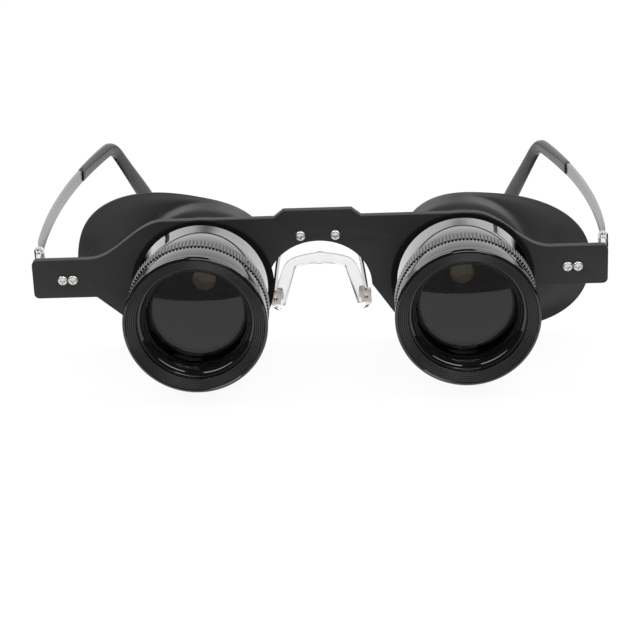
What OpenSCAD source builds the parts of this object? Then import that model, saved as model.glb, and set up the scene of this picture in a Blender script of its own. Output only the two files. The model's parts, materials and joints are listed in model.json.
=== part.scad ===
// Spectacle binoculars: a flat front plate carries two small telescopes that
// slide sideways, a clear nose saddle on wire arms, and two folding temples.
// Left and right are the wearer's. The front lenses face -Y, the temples run to +Y.

/* [Front plate] */
// Overall width across the end tabs
plate_w = 146; // [140:1:152]
// Thickness of the plate
plate_t = 2.2; // [1.6:0.1:3]
// Height of the end tabs
tab_h = 10.2; // [9:0.1:12]
// Height of the long top edge above the middle of the tabs
plate_top = 14.7; // [13.5:0.1:16]
// Height of the raised centre above the middle of the tabs
crown_top = 16.6; // [15.8:0.1:18]
// Half width of the raised centre along its top
crown_half = 8.6; // [7:0.1:10]
// Half width of the raised centre along its foot
crown_foot = 11; // [10.5:0.1:13]
// Distance from the centre to the inner end of each shoulder curve
shoulder_in = 39; // [36:0.5:41]
// Distance from the centre to the outer end of each shoulder curve
shoulder_out = 58.5; // [56:0.5:60]
// Height of the nose arch above the middle of the tabs
arch_top = 8.4; // [7:0.1:8.6]
// Half width of the nose arch where its sides start to flare
arch_half = 13.3; // [12.5:0.1:14]
// Radius of the round rim below each telescope
lobe_r = 17.4; // [16.8:0.1:18]
// Corner radius of the end tabs
tab_corner_r = 1.3; // [0.6:0.1:2]

/* [Telescope places] */
// Middle of each slide slot, from the centre of the plate
slot_x = 33; // [32:0.25:34]
// Travel of each telescope to either side of its slot's middle
slide_travel = 4; // [2:0.5:4]
// Left telescope's place from the centre of the plate
left_x = 36.3; // [32:0.1:37]
// Right telescope's place from the centre of the plate
right_x = 29.7; // [29:0.1:34]
// Drop of the telescope axes below the middle of the tabs
axis_drop = 2.6; // [2:0.1:3]

/* [Telescope] */
// Radius of the front bell
bell_r = 17.3; // [16.9:0.1:17.6]
// How much narrower than the bell the housing's front shoulder is
shoulder_drop = 0.4; // [0.2:0.1:0.8]
// How much narrower than its front shoulder the housing is at the plate
housing_taper = 0.3; // [0:0.1:1.2]
// Length of the rear housing in front of the plate
housing_len = 14.9; // [13:0.1:17]
// Radius of the neck that passes through the plate
neck_r = 10; // [9.4:0.1:10.4]
// Bore radius of the neck
neck_bore_r = 8.8; // [8:0.1:9]
// How far the neck reaches behind the plate
neck_reach = 7.2; // [6.8:0.1:8]
// Length of the knurled band
knurl_len = 4.4; // [3.6:0.1:5.4]
// How far the knurled ribs stand out from the bell
knurl_stand = 0.25; // [0.1:0.05:0.5]
// Depth of the grooves between the ribs
knurl_depth = 0.4; // [0.2:0.05:0.5]
// Number of knurled ribs
knurl_count = 120; // [60:4:144]
// Wall of the front bell
bell_wall = 1.05; // [0.8:0.05:1.2]
// Wall of the focus ring inside the bell
focus_wall = 1.35; // [1.1:0.05:1.5]
// Wall of the housing's sleeve inside the focus ring
sleeve_wall = 0.75; // [0.6:0.05:0.9]
// Wall of the cell that holds the front lens
cell_wall = 0.6; // [0.45:0.05:0.7]
// Width of the seat under the edge of the front lens
lens_seat = 0.9; // [0.7:0.05:1.2]
// Length of the front bell
bell_len = 6.9; // [6:0.1:9]
// How far the front ring stands out from the bell
front_stand = 0.4; // [0.2:0.1:0.8]
// Length of the front ring
front_ring_len = 1.9; // [1.5:0.1:2.6]
// Rounding of the front ring's outer lip
lip_round = 0.4; // [0.2:0.05:0.5]
// Width of the sloping retainer face round the front lens
retainer_w = 0.95; // [0.7:0.05:1.2]
// Number of fine steps on the face of the front ring
front_steps = 7; // [3:1:9]
// Thickness of the front lens at its edge
lens_edge = 1.8; // [1.2:0.1:2.4]
// Spherical radius of the front lens's faces
lens_curve = 52; // [40:1:80]
// Clear radius of the eye lens
eye_view_r = 7.6; // [7:0.1:7.8]
// Thickness of the eye lens at its edge
eye_lens_edge = 2.6; // [2.2:0.1:3]
// Spherical radius of the hollow rear face of the eye lens
eye_lens_curve = 24; // [20:1:40]
// Outer radius of the clamp ring behind the plate
clamp_r = 14; // [13:0.1:14.4]
// Length of the clamp ring
clamp_len = 4.2; // [3.6:0.1:4.6]
// Thickness of the slide washer
washer_t = 0.6; // [0.4:0.1:0.8]

/* [Eye cups] */
// Wall of the rubber cup
cup_wall = 1.3; // [1:0.1:1.6]
// Depth of the cup behind its neck, at the side next to the nose
cup_depth = 4.6; // [4:0.1:5]
// How much farther back the tip of the wing reaches
wing_sweep = 1.1; // [0:0.1:1.3]
// Room between the tip of the wing and the hinge leg when the telescope is slid fully out
wing_gap = 0.8; // [0.7:0.1:4]
// Half height of the cup's rim
rim_half_h = 18.8; // [18:0.1:19]
// Height of the rim's middle above the telescope's axis
rim_rise = 0.5; // [0:0.1:1]
// Reach of the rim towards the nose
rim_nose = 16.5; // [16.4:0.1:16.6]
// Radius of the drum's front edge
drum_r = 17.2; // [16.4:0.1:17.4]
// Radius of the soft crease where the drum meets the wing
crease_r = 18.5; // [18.2:0.1:18.8]
// How far the wing bulges forward behind the crease
wing_bulge = 1.1; // [0:0.1:1.3]
// Turn of the left wing above the level
left_cup_turn = -5; // [-15:1:15]
// Turn of the right wing above the level
right_cup_turn = 12; // [-15:1:15]

/* [Temples] */
// Distance of the hinge pins behind the front face of the plate
hinge_y = 16; // [15.5:0.1:18]
// Height of the temples above the middle of the tabs
temple_z = 0.8; // [-0.5:0.1:1.2]
// Lean of both hinge pins to one side, which parts the folded temples
hinge_lean = -2; // [-3:0.5:-1]
// Rise of the left temple towards its tip
left_rise = 0; // [0:0.5:2]
// Rise of the right temple towards its tip
right_rise = 2; // [0:0.5:2]
// Radius of the hinge knuckles
knuckle_r = 1.3; // [1.2:0.05:1.5]
// Radius of the hinge pin
pin_r = 0.6; // [0.5:0.05:0.7]
// Height of the whole hinge
hinge_h = 3.8; // [3.6:0.1:5]
// Thickness of the temple strip
strip_t = 1.1; // [0.9:0.05:1.3]
// Height of the temple strip
strip_h = 3.4; // [3:0.1:3.8]
// Thickness of the core inside the sleeve
core_t = 0.8; // [0.6:0.05:0.9]
// Height of the core inside the sleeve
core_h = 2.2; // [1.6:0.1:2.4]
// How far outside the plate's ends the temples bow
bow_out = 1.4; // [0.8:0.1:2]
// Distance of the widest place of the bow behind the front face of the plate
bow_y = 33; // [28:1:38]
// Radius of the long inward curve of the temples
bow_r = 240; // [220:10:400]
// Distance of the temple's bend behind the front face of the plate
bend_y = 99; // [90:1:110]
// Distance of the sleeve's mouth behind the front face of the plate
sleeve_y = 77; // [70:1:82]
// Radius of the bend in the sleeve
bend_r = 8; // [6:0.5:12]
// Drop angle of the tip below the level
tip_drop = 55; // [45:1:60]
// Inward turn of the tip, seen from above
tip_turn = 32; // [20:1:36]
// Length of the straight tip below the bend
tip_len = 22; // [20:0.5:24]

/* [Nose saddle] */
// Distance of the saddle's middle behind the front face of the plate
saddle_y = 9.6; // [8.6:0.1:10.4]
// Slope of the band where it leaves the corners
band_slope = 18; // [8:1:24]
// Depth of the band from front to back
band_depth = 3.4; // [2.6:0.1:4]
// Thickness of the band
band_t = 1.9; // [1.5:0.1:2.4]
// Half distance between the pads at their tops
pad_top_x = 8.7; // [8:0.1:9.4]
// Half distance between the pads at their feet
pad_foot_x = 12.3; // [11.6:0.1:13]
// Height of the pads' tops
pad_top_z = -2.65; // [-3.2:0.05:-2]
// Height of the pads' feet
pad_foot_z = -13.2; // [-15:0.1:-12]
// Depth of the pads from front to back
pad_depth = 6.4; // [5.4:0.1:7]
// Thickness of the pads
pad_t = 3.1; // [2.4:0.1:3.4]
// Radius of the wire arms
wire_r = 0.55; // [0.4:0.05:0.7]
// Width of the metal boxes that hold the pads
box_w = 2.6; // [2.2:0.1:2.8]
// Height of the metal boxes
box_h = 3.4; // [2.8:0.1:3.8]

/* [Screws] */
// Radius of the screw heads
head_r = 1.2; // [1:0.05:1.25]
// Height of the screw heads
head_h = 0.6; // [0.4:0.05:0.9]
// Radius of the screw threads
thread_r = 0.7; // [0.5:0.05:0.8]
// Half distance between the two centre screws
centre_screw_x = 4.4; // [3.8:0.1:5]
// Height of the centre screws
centre_screw_z = 9.9; // [9.7:0.1:10.1]
// Distance of the inner end screws from the ends of the plate
end_screw_inset = 10.2; // [9.5:0.1:11.5]
// Distance between the two end screws of a side
end_screw_gap = 2.6; // [2.55:0.05:3]

/* [Hidden] */
$fn = 96;
fine = 0.05;
gap = 0.3;
axis_z = -axis_drop;
slot_play = 0.08;
slot_r = neck_r + slot_play;
arch_mid_z = -3.6;
web_run = 24;
web_x = slot_x + web_run;
web_angle = -44;
end_screw_x = plate_w / 2 - end_screw_inset;

bracket_t = 1.2;
bracket_y = plate_t + bracket_t;
bridge_half = 8.6;
bridge_h = 2.6;
flange_margin = 2.2;
flange_in = end_screw_x - flange_margin;
flange_inset = 0.4;
flange_out = plate_w / 2 - flange_inset;
flange_drop = 1.4;
leg_t = 1.1;
end_screw_z = -0.3;
hole_play = 0.1;
thread_out = 0.6;
end_thread_out = 0.4;
recess_w = 0.32;

washer_y = plate_t + fine;
clamp_y = washer_y + washer_t;
clamp_back = clamp_y + clamp_len;
neck_back = plate_t + neck_reach;
eye_ring_len = 1;
eye_ring_flare = 0.6;
eye_lens_mid = 1;
eye_ledge = 1;
eye_seat = neck_back - eye_ring_len - eye_lens_edge;
washer_inset = 2;
washer_r = clamp_r - washer_inset;

shoulder_y = -housing_len;
shoulder_r = bell_r - shoulder_drop;
housing_r = shoulder_r - housing_taper;
knurl_r = bell_r + knurl_stand;
front_ring_r = bell_r + front_stand;
ring_sleeve_r = bell_r - bell_wall - fine;
sleeve_out_r = ring_sleeve_r - focus_wall - fine;
sleeve_in_r = sleeve_out_r - sleeve_wall;
cell_gap = 0.15;
cell_r = sleeve_in_r - cell_gap;
lens_r = cell_r - cell_wall;
view_r = lens_r - lens_seat;
opening_r = lens_r + retainer_w;
ring_front = shoulder_y - fine - knurl_len;
bell_gap = 0.1;
bell_back = ring_front - bell_gap;
bell_front = bell_back - bell_len;
front_y = bell_front - front_ring_len;
ring_sleeve_len = 5.1;
ring_sleeve_y = ring_front - ring_sleeve_len;
web_gap = 0.5;
web_y = ring_sleeve_y - web_gap;
sleeve_gap = 0.2;
housing_sleeve_y = ring_sleeve_y + sleeve_gap;
housing_web = 3;
housing_cone = 2.5;
housing_step = 1;
housing_in_r = sleeve_in_r - 1.05;
shoulder_land = 1.2;
plate_land = 1.5;
edge_bevel = 0.3;
lens_ahead = 1.9;
lens_front = bell_back - lens_ahead;
lens_back = lens_front + lens_edge;
cell_ledge = 1.2;
cell_back = lens_back + cell_ledge;
lip_flat = 0.5;
step_start = 0.2;
step_in = 1.9;
step_share = 0.8;
retainer_lip = 0.8;
retainer_edge = 0.25;
retainer_cone = 3.4;

cup_neck_r = clamp_r + fine + cup_wall;
cup_front = clamp_y + gap;
cup_lip_back = clamp_back + fine + cup_wall;
cup_lip_r = 12.2;
neck_bead = 0.4;
flare_root = clamp_back + fine + cup_wall / 2;
flare_r = cup_neck_r - neck_bead;
flare_step = 0.15;
flare_y = cup_lip_back + flare_step;
drum_step = 0.35;
drum_y = flare_y + drum_step;
rim_y = clamp_back + cup_depth;
crease_depth = 0.85;
crease_y = rim_y - crease_depth;
wing_reach = flange_out - leg_t - slot_x - slide_travel - wing_gap;
rim_mid = 5;
drum_margin = 1.3;
crease_margin = 0.5;
wing_start = 12;
wing_power = 2.3;
nose_power = 2.65;
cup_sides = 72;

hinge_out = 0.5;
pin_offset = 0.2;
hinge_x = plate_w / 2 + hinge_out;
strip_x = hinge_x - pin_offset;
knuckle_gap = 0.08;
knuckle_h = (hinge_h - 2 * knuckle_gap) / 3;
knuckle_play = 0.2;
leg_end_y = hinge_y - knuckle_r * 0.7;
leg_tail = 1.6;
strip_tail = 1.4;
strip_root_gap = 0.25;
strip_root_y = hinge_y + knuckle_r + strip_root_gap;
strip_root_len = 4.5;
bow_start_y = strip_root_y + strip_root_len;
strip_steps = 24;
pin_end = 0.1;
pin_head_stand = 0.3;
pin_head_t = 0.35;
pin_slot_w = 0.24;
bend_angle = asin((bend_y - bow_y) / bow_r);
core_end_gap = 4;
core_len = bend_y - sleeve_y - core_end_gap;
core_angle = (asin((sleeve_y - bow_y) / bow_r) + bend_angle) / 2;
core_root = 0.3;

// Half thickness and half height of the sleeve at its mouth, before the bend, after it and at the tip
sleeve_mouth_size = [1.15, 2.1];
sleeve_bend_size = [1.5, 2];
sleeve_neck_size = [1.5, 1.8];
sleeve_tip_size = [1.4, 2.5];
sleeve_cap = 2;

saddle_corner_r = 3.2;
foot_round = 1.5;
neck_t = 2.4;
neck_depth = 4;
box_depth = 1.8;
box_hole_r = 0.5;
pad_screw_sunk = 0.6;
box_y = saddle_y - pad_depth / 2 - box_depth;
box_x = 11.7;
box_z = -8.6;
tang_w = 1.2;
tang_h = 2.2;
tang_len = 3;
tang_room = 0.6;

function unit(v) = v / norm(v);
function mix(a, b, t) = a + (b - a) * t;
function ease(t) = (1 - cos(180 * t)) / 2;
function arc(c, r, a0, a1, n) = [for (i = [0:n]) let (a = mix(a0, a1, i / n)) c + r * [cos(a), sin(a)]];

// Temple path: the long bow, the bend and the tip
bow_c = [plate_w / 2 + bow_out - bow_r, bow_y, temple_z];
function bow_point(a) = bow_c + bow_r * [cos(a), sin(a), 0];
function bow_angle(y) = asin((y - bow_y) / bow_r);
dir_in = [-sin(bend_angle), cos(bend_angle), 0];
dir_tip = [-sin(tip_turn) * cos(tip_drop), cos(tip_turn) * cos(tip_drop), -sin(tip_drop)];
turn_total = acos(dir_in * dir_tip);
turn_side = unit(dir_tip - (dir_tip * dir_in) * dir_in);
bend_c = bow_point(bend_angle) + bend_r * turn_side;
function bend_point(a) = bend_c - bend_r * cos(a) * turn_side + bend_r * sin(a) * dir_in;
function bend_dir(a) = cos(a) * dir_in + sin(a) * turn_side;

// Sleeve stations: point, direction and half size
sleeve_bow = [for (i = [0:6])
    let (t = i / 6, a = mix(bow_angle(sleeve_y), bend_angle, t))
    [bow_point(a), [-sin(a), cos(a), 0], mix(sleeve_mouth_size, sleeve_bend_size, ease(t))]];
sleeve_bend = [for (i = [1:6])
    let (a = turn_total * i / 6)
    [bend_point(a), bend_dir(a), mix(sleeve_bend_size, sleeve_neck_size, i / 6)]];
sleeve_tip = [for (i = [1:7])
    let (t = i / 7)
    [bend_point(turn_total) + tip_len * t * dir_tip, dir_tip,
        mix(sleeve_neck_size, sleeve_tip_size, ease(t))]];
sleeve_end = [for (a = [30, 55, 75])
    [bend_point(turn_total) + (tip_len + sleeve_cap * sin(a)) * dir_tip, dir_tip, sleeve_tip_size * cos(a)]];
function soft(v) = sign(v) * pow(abs(v), 0.8);
function section(station, sides) =
    let (side = unit(cross(station[1], [0, 0, 1])), up = cross(side, station[1]))
    [for (i = [0:sides - 1])
        let (a = 360 * i / sides)
        station[0] + station[2][0] * soft(cos(a)) * side + station[2][1] * soft(sin(a)) * up];
sleeve_rings = [for (s = concat(sleeve_bow, sleeve_bend, sleeve_tip, sleeve_end)) section(s, 16)];

// The whole object is moved so that its box stands centred on the origin
function risen(p, rise) = let (y = p[1] - hinge_y, z = p[2] - temple_z)
    [p[0], hinge_y + y * cos(rise) - z * sin(rise), temple_z + y * sin(rise) + z * cos(rise)];
tip_points = [for (rise = [left_rise, right_rise]) for (ring = sleeve_rings) for (p = ring) risen(p, rise)];
reach_back = max([for (p = tip_points) p[1]]);
reach_down = min([for (p = tip_points) p[2]]);
shift = [0, -(reach_back + front_y) / 2, -reach_down];

// Closed solid through rings of equally many points, capped at both ends
module skin(rings) {
    n = len(rings[0]);
    last = len(rings) - 1;
    walls = [for (k = [0:last - 1]) for (i = [0:n - 1])
        let (j = (i + 1) % n, a = k * n + i, b = k * n + j, c = a + n, d = b + n)
        each [[a, b, d], [a, d, c]]];
    front = [for (i = [1:n - 2]) [0, i + 1, i]];
    back = [for (i = [1:n - 2]) [last * n, last * n + i, last * n + i + 1]];
    polyhedron([for (r = rings) each r], concat(walls, front, back));
}

// Closed tube wall: the last ring joins the first one again
module loop_skin(rings) {
    n = len(rings[0]);
    m = len(rings);
    walls = [for (k = [0:m - 1]) for (i = [0:n - 1])
        let (j = (i + 1) % n, e = (k + 1) % m,
            a = k * n + i, b = k * n + j, c = e * n + i, d = e * n + j)
        each [[a, b, d], [a, d, c]]];
    polyhedron([for (r = rings) each r], walls);
}

module side(s) {
    if (s > 0) children();
    else mirror([1, 0, 0]) children();
}

module in_place(s = 1) {
    translate(shift) side(s) children();
}

// Turns a shape drawn about its own Z axis to lie along +Y
module along_y() {
    rotate([-90, 0, 0]) children();
}

module telescope(s) {
    translate(shift + [s * (s > 0 ? left_x : right_x), 0, axis_z]) along_y() children();
}

module revolved(profile) {
    rotate_extrude() polygon(profile);
}

module disc(r, y0, y1) {
    translate([0, 0, y0]) cylinder(r = r, h = y1 - y0);
}

// Outline of the left half of the plate, seen from the front
function shoulder_curve(n) = [for (i = [0:n])
    let (t = i / n) [mix(shoulder_in, shoulder_out, t), mix(plate_top, tab_h / 2, ease(t))]];
function arch_side(n) = [for (i = [0:n])
    let (a = 90 * i / n) [arch_half * cos(a), mix(arch_mid_z, arch_top, sin(a))]];
tab_x = plate_w / 2 - tab_corner_r;
tab_z = tab_h / 2 - tab_corner_r;
lobe_end = -130;
half_outline = concat(
    [[0, crown_top], [crown_half, crown_top], [crown_foot, plate_top]],
    shoulder_curve(18),
    arc([tab_x, tab_z], tab_corner_r, 90, 0, 6),
    arc([tab_x, -tab_z], tab_corner_r, 0, -90, 6),
    [[web_x, -tab_h / 2]],
    arc([slot_x, axis_z], lobe_r, web_angle, lobe_end, 24),
    arch_side(18));
other_half = [for (i = [len(half_outline) - 2:-1:1]) [-half_outline[i][0], half_outline[i][1]]];

module front_plate() color("#2d2b2c") in_place() difference() {
    translate([0, plate_t, 0]) rotate([90, 0, 0]) linear_extrude(plate_t)
        polygon(concat(half_outline, other_half));
    for (s = [-1, 1]) translate([s * slot_x, -1, axis_z]) {
        for (x = [-slide_travel, slide_travel]) translate([x, 0, 0]) along_y()
            cylinder(r = slot_r, h = plate_t + 2);
        translate([-slide_travel, 0, -slot_r]) cube([2 * slide_travel, plate_t + 2, 2 * slot_r]);
    }
    for (x = [-centre_screw_x, centre_screw_x]) screw_hole(x, centre_screw_z);
    for (s = [-1, 1]) for (x = [end_screw_x, end_screw_x + end_screw_gap]) screw_hole(s * x, end_screw_z);
}

module screw_hole(x, z) {
    translate([x, -1, z]) along_y() cylinder(r = thread_r + hole_play, h = plate_t + 2, $fn = 32);
}

// Pan-head screw with a cross recess; its head sits on the front of the plate
module screw(len) {
    difference() {
        union() {
            rotate_extrude($fn = 32) polygon(concat([[0, 0], [head_r, 0]],
                [for (a = [0:15:90]) [head_r - head_h / 2 * (1 - cos(a)), -head_h / 2 * (1 + sin(a))]],
                [[0, -head_h]]));
            translate([0, 0, -head_h / 4]) cylinder(r = thread_r, h = len + head_h / 4, $fn = 32);
        }
        for (a = [0, 90]) rotate(a) translate([-0.75 * head_r, -recess_w / 2, -head_h - 1])
            cube([1.5 * head_r, recess_w, 1 + head_h / 2]);
    }
}

module bridge_bracket() color("#b8b8ba") in_place() difference() {
    translate([-bridge_half, plate_t, centre_screw_z - bridge_h / 2])
        cube([2 * bridge_half, bracket_t, bridge_h]);
    for (x = [-centre_screw_x, centre_screw_x]) translate([x, plate_t - 1, centre_screw_z]) along_y()
        cylinder(r = thread_r, h = bracket_t + 2, $fn = 32);
}

module bridge_screws() color("#d6d6d8") in_place()
    for (x = [-centre_screw_x, centre_screw_x]) translate([x, 0, centre_screw_z]) along_y()
        screw(bracket_y + thread_out);

module end_screws(s) color("#d6d6d8") in_place(s)
    for (x = [end_screw_x, end_screw_x + end_screw_gap]) translate([x, 0, end_screw_z]) along_y()
        screw(bracket_y + end_thread_out);

// Wire arm: out of the bracket, round and down to the top of the box
wire_points = [
    [7.4, bracket_y, centre_screw_z],
    [7.6, bracket_y + 1.3, centre_screw_z],
    [8.7, bracket_y + 2.1, centre_screw_z - 1.6],
    [10, bracket_y + 2, 4.5],
    [10.9, box_y + 1, 0],
    [11.4, box_y + box_depth / 2, -4],
    [box_x, box_y + box_depth / 2, box_z + box_h / 2 + 1],
    [box_x, box_y + box_depth / 2, box_z + box_h / 2]];
function wire_dir(i) = i == 0 ? [0, 1, 0] : i == len(wire_points) - 1 ? [0, 0, -1]
    : unit(wire_points[i + 1] - wire_points[i - 1]);
function wire_ring(i) =
    let (d = wire_dir(i), u = unit(cross(d, [1, 0, 0])), v = cross(d, u))
    [for (k = [0:9]) wire_points[i] + wire_r * (cos(36 * k) * v + sin(36 * k) * u)];

module pad_arm(s) color("#c4bfb8") in_place(s) skin([for (i = [0:len(wire_points) - 1]) wire_ring(i)]);

module tang() {
    translate([box_x - box_w / 2 - tang_w / 2, box_y + box_depth, box_z - tang_h / 2])
        cube([tang_w + tang_room, tang_len, tang_h]);
}

module pad_box(s) color("#b3aaa0") in_place(s) {
    difference() {
        translate([box_x - box_w / 2, box_y, box_z - box_h / 2]) cube([box_w, box_depth, box_h]);
        translate([box_x, box_y - 1, box_z]) along_y()
            cylinder(r = box_hole_r, h = box_depth + 1.4, $fn = 24);
    }
    tang();
}

module pad_screws() color("#8f8983") for (s = [-1, 1]) in_place(s)
    translate([box_x, box_y + pad_screw_sunk, box_z]) along_y()
        cylinder(r = box_hole_r, h = box_depth - pad_screw_sunk, $fn = 24);

// Saddle path in the upright plane: foot, pad, corner, half band
pad_top = [pad_top_x, pad_top_z];
pad_foot = [pad_foot_x, pad_foot_z];
pad_dir = unit(pad_top - pad_foot);
corner_turn = 180 - band_slope - acos(pad_dir[0]);
corner_c = pad_top + saddle_corner_r * [-pad_dir[1], pad_dir[0]];
pad_side = [pad_dir[1], -pad_dir[0]];
function corner_point(a) = corner_c + saddle_corner_r * (cos(a) * pad_side + sin(a) * pad_dir);
corner_end = corner_point(corner_turn);
pad_stations = concat(
    [for (a = [75, 50, 25])
        [pad_foot + foot_round * (1 - sin(a)) * pad_dir, pad_t / 2 * cos(a), pad_depth / 2 * cos(a)]],
    [for (i = [0:5]) let (t = i / 5) [mix(pad_foot + foot_round * pad_dir, pad_top, t),
        mix(pad_t, neck_t, ease(t)) / 2, mix(pad_depth, neck_depth, ease(t)) / 2]]);
corner_stations = [for (i = [1:5]) let (t = i / 5)
    [corner_point(corner_turn * t), mix(neck_t, band_t, t) / 2, mix(neck_depth, band_depth, t) / 2]];
band_rise = corner_end[0] * tan(band_slope);
function band_station(t) =
    [corner_end + [-corner_end[0] * t, band_rise * (t - t * t / 2)], band_t / 2, band_depth / 2];
half_stations = concat(pad_stations, corner_stations, [for (t = [0.25, 0.5, 0.75]) band_station(t)]);
saddle_stations = concat(half_stations, [band_station(1)],
    [for (i = [len(half_stations) - 1:-1:0]) let (h = half_stations[i]) [[-h[0][0], h[0][1]], h[1], h[2]]]);
function saddle_ring(i) =
    let (m = len(saddle_stations) - 1, p = saddle_stations[i],
        d = unit(saddle_stations[min(i + 1, m)][0] - saddle_stations[max(i - 1, 0)][0]))
    [for (k = [0:11]) let (q = 30 * k, w = p[1] * cos(q), e = p[2] * sin(q))
        [p[0][0] + w * d[1], saddle_y + e, p[0][1] - w * d[0]]];

module nose_saddle() color("#e9ecee", 0.5) difference() {
    in_place() skin([for (i = [0:len(saddle_stations) - 1]) saddle_ring(i)]);
    for (s = [-1, 1]) in_place(s) tang();
}

// Hinge parts stand on the leaning pin; the two pins lean the same way
module on_pin(s) {
    translate([hinge_x, hinge_y, temple_z]) rotate([0, s * hinge_lean, 0]) children();
}

module knuckle(z) {
    translate([0, 0, z]) cylinder(r = knuckle_r, h = knuckle_h, $fn = 48);
}

module hinge_bracket(s) color("#a9a9ab") in_place(s) difference() {
    union() {
        translate([flange_in, plate_t, -tab_h / 2 + flange_drop])
            cube([flange_out - flange_in, bracket_t, tab_h - 2 * flange_drop]);
        translate([0, 0, temple_z - strip_h / 2]) linear_extrude(strip_h)
            polygon([[flange_out - leg_t, plate_t], [flange_out, plate_t],
                [strip_x + leg_t / 2, leg_end_y], [strip_x - leg_t / 2, leg_end_y]]);
        on_pin(s) for (z = [-hinge_h / 2, hinge_h / 2 - knuckle_h]) {
            knuckle(z);
            translate([strip_x - hinge_x - leg_t / 2, -knuckle_r - leg_tail, z])
                cube([leg_t, knuckle_r + leg_tail, knuckle_h]);
        }
    }
    on_pin(s) translate([0, 0, -hinge_h]) cylinder(r = pin_r, h = 2 * hinge_h, $fn = 32);
    on_pin(s) translate([0, 0, -knuckle_h / 2 - knuckle_gap])
        cylinder(r = knuckle_r + knuckle_play, h = knuckle_h + 2 * knuckle_gap, $fn = 48);
    for (x = [end_screw_x, end_screw_x + end_screw_gap]) translate([x, plate_t - 1, end_screw_z]) along_y()
        cylinder(r = thread_r, h = bracket_t + 2, $fn = 32);
}

module hinge_pin(s) color("#8d8d90") in_place(s) on_pin(s) difference() {
    union() {
        translate([0, 0, -hinge_h / 2]) cylinder(r = pin_r, h = hinge_h + pin_end, $fn = 32);
        translate([0, 0, hinge_h / 2]) cylinder(r = pin_r + pin_head_stand, h = pin_head_t, $fn = 32);
    }
    translate([-knuckle_r, -pin_slot_w / 2, hinge_h / 2 + 0.15]) cube([2 * knuckle_r, pin_slot_w, 1]);
}

module temple_arm(s) color("#a3a3a6") in_place(s) difference() {
    union() {
        on_pin(s) knuckle(-knuckle_h / 2);
        on_pin(s) translate([strip_x - hinge_x - strip_t / 2, 0, -knuckle_h / 2])
            cube([strip_t, knuckle_r + strip_tail, knuckle_h]);
        raised(s) {
            strip();
            core(0, core_root);
        }
    }
    on_pin(s) translate([0, 0, -hinge_h]) cylinder(r = pin_r + fine, h = 2 * hinge_h, $fn = 32);
}

module raised(s) {
    translate([0, hinge_y, temple_z]) rotate([s > 0 ? left_rise : right_rise, 0, 0])
        translate([0, -hinge_y, -temple_z]) children();
}

// Flat strip: a short straight that leads out from the hinge, then the bow
function strip_edge(w) = concat([[strip_x + w, strip_root_y]],
    [for (i = [0:strip_steps]) let (a = mix(bow_angle(bow_start_y), bow_angle(sleeve_y), i / strip_steps))
        [bow_c[0] + (bow_r + w) * cos(a), bow_c[1] + (bow_r + w) * sin(a)]]);

module strip() {
    outer = strip_edge(strip_t / 2);
    inner = strip_edge(-strip_t / 2);
    translate([0, 0, temple_z - strip_h / 2]) linear_extrude(strip_h)
        polygon(concat(outer, [for (i = [len(inner) - 1:-1:0]) inner[i]]));
}

// Straight core that runs into the sleeve, here with some room round it and at its root
module core(room, root) {
    translate(bow_point(bow_angle(sleeve_y))) rotate(core_angle)
        translate([-core_t / 2 - room, -root, -core_h / 2 - room])
        cube([core_t + 2 * room, core_len + root + room, core_h + 2 * room]);
}

module temple_sleeve(s) color("#3b3b3d") in_place(s) raised(s) difference() {
    skin(sleeve_rings);
    core(fine, 1);
}

// Housing that clamps against the plate, with its neck through the slot
module rear_housing(s) color("#161617") telescope(s) revolved([
    [housing_r, -fine], [neck_r, -fine], [neck_r, neck_back], [neck_bore_r, neck_back],
    [neck_bore_r, eye_seat], [eye_view_r, eye_seat], [eye_view_r, eye_seat - eye_ledge],
    [neck_bore_r, eye_seat - eye_ledge - eye_ring_flare],
    [neck_bore_r, -housing_web], [housing_in_r, -housing_web - housing_cone],
    [housing_in_r, shoulder_y + housing_step], [sleeve_in_r, shoulder_y - housing_step / 2],
    [sleeve_in_r, housing_sleeve_y], [sleeve_out_r, housing_sleeve_y],
    [sleeve_out_r, shoulder_y], [shoulder_r, shoulder_y], [shoulder_r, shoulder_y + shoulder_land],
    [housing_r, -plate_land]]);

module slide_washer(s) color("#c8c3b6") telescope(s) difference() {
    disc(washer_r, washer_y, clamp_y);
    disc(neck_r, washer_y - 1, clamp_y + 1);
}

module clamp_ring(s) color("#1a1a1b") telescope(s) difference() {
    disc(clamp_r, clamp_y, clamp_back);
    disc(neck_r, clamp_y - 1, clamp_back + 1);
}

module eye_lens(s) color("#3c4a52", 0.5) telescope(s) difference() {
    disc(neck_bore_r, eye_seat, eye_seat + eye_lens_edge);
    translate([0, 0, eye_seat + eye_lens_mid + eye_lens_curve]) sphere(r = eye_lens_curve, $fn = 128);
}

module eye_lens_ring(s) color("#1a1a1b") telescope(s) revolved([
    [neck_bore_r, eye_seat + eye_lens_edge], [eye_view_r, eye_seat + eye_lens_edge],
    [eye_view_r + eye_ring_flare, neck_back], [neck_bore_r, neck_back]]);

// Winged rim outline about the telescope's axis; the wing points to +X
function rim_power(c) = c > 0 ? wing_power : nose_power;
function rim_point(a) = let (c = cos(a), n = sin(a), e = 2 / rim_power(c),
        reach = c > 0 ? wing_reach - rim_mid : rim_nose + rim_mid)
    [rim_mid + reach * sign(c) * pow(abs(c), e), rim_rise + rim_half_h * sign(n) * pow(abs(n), e)];

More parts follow.
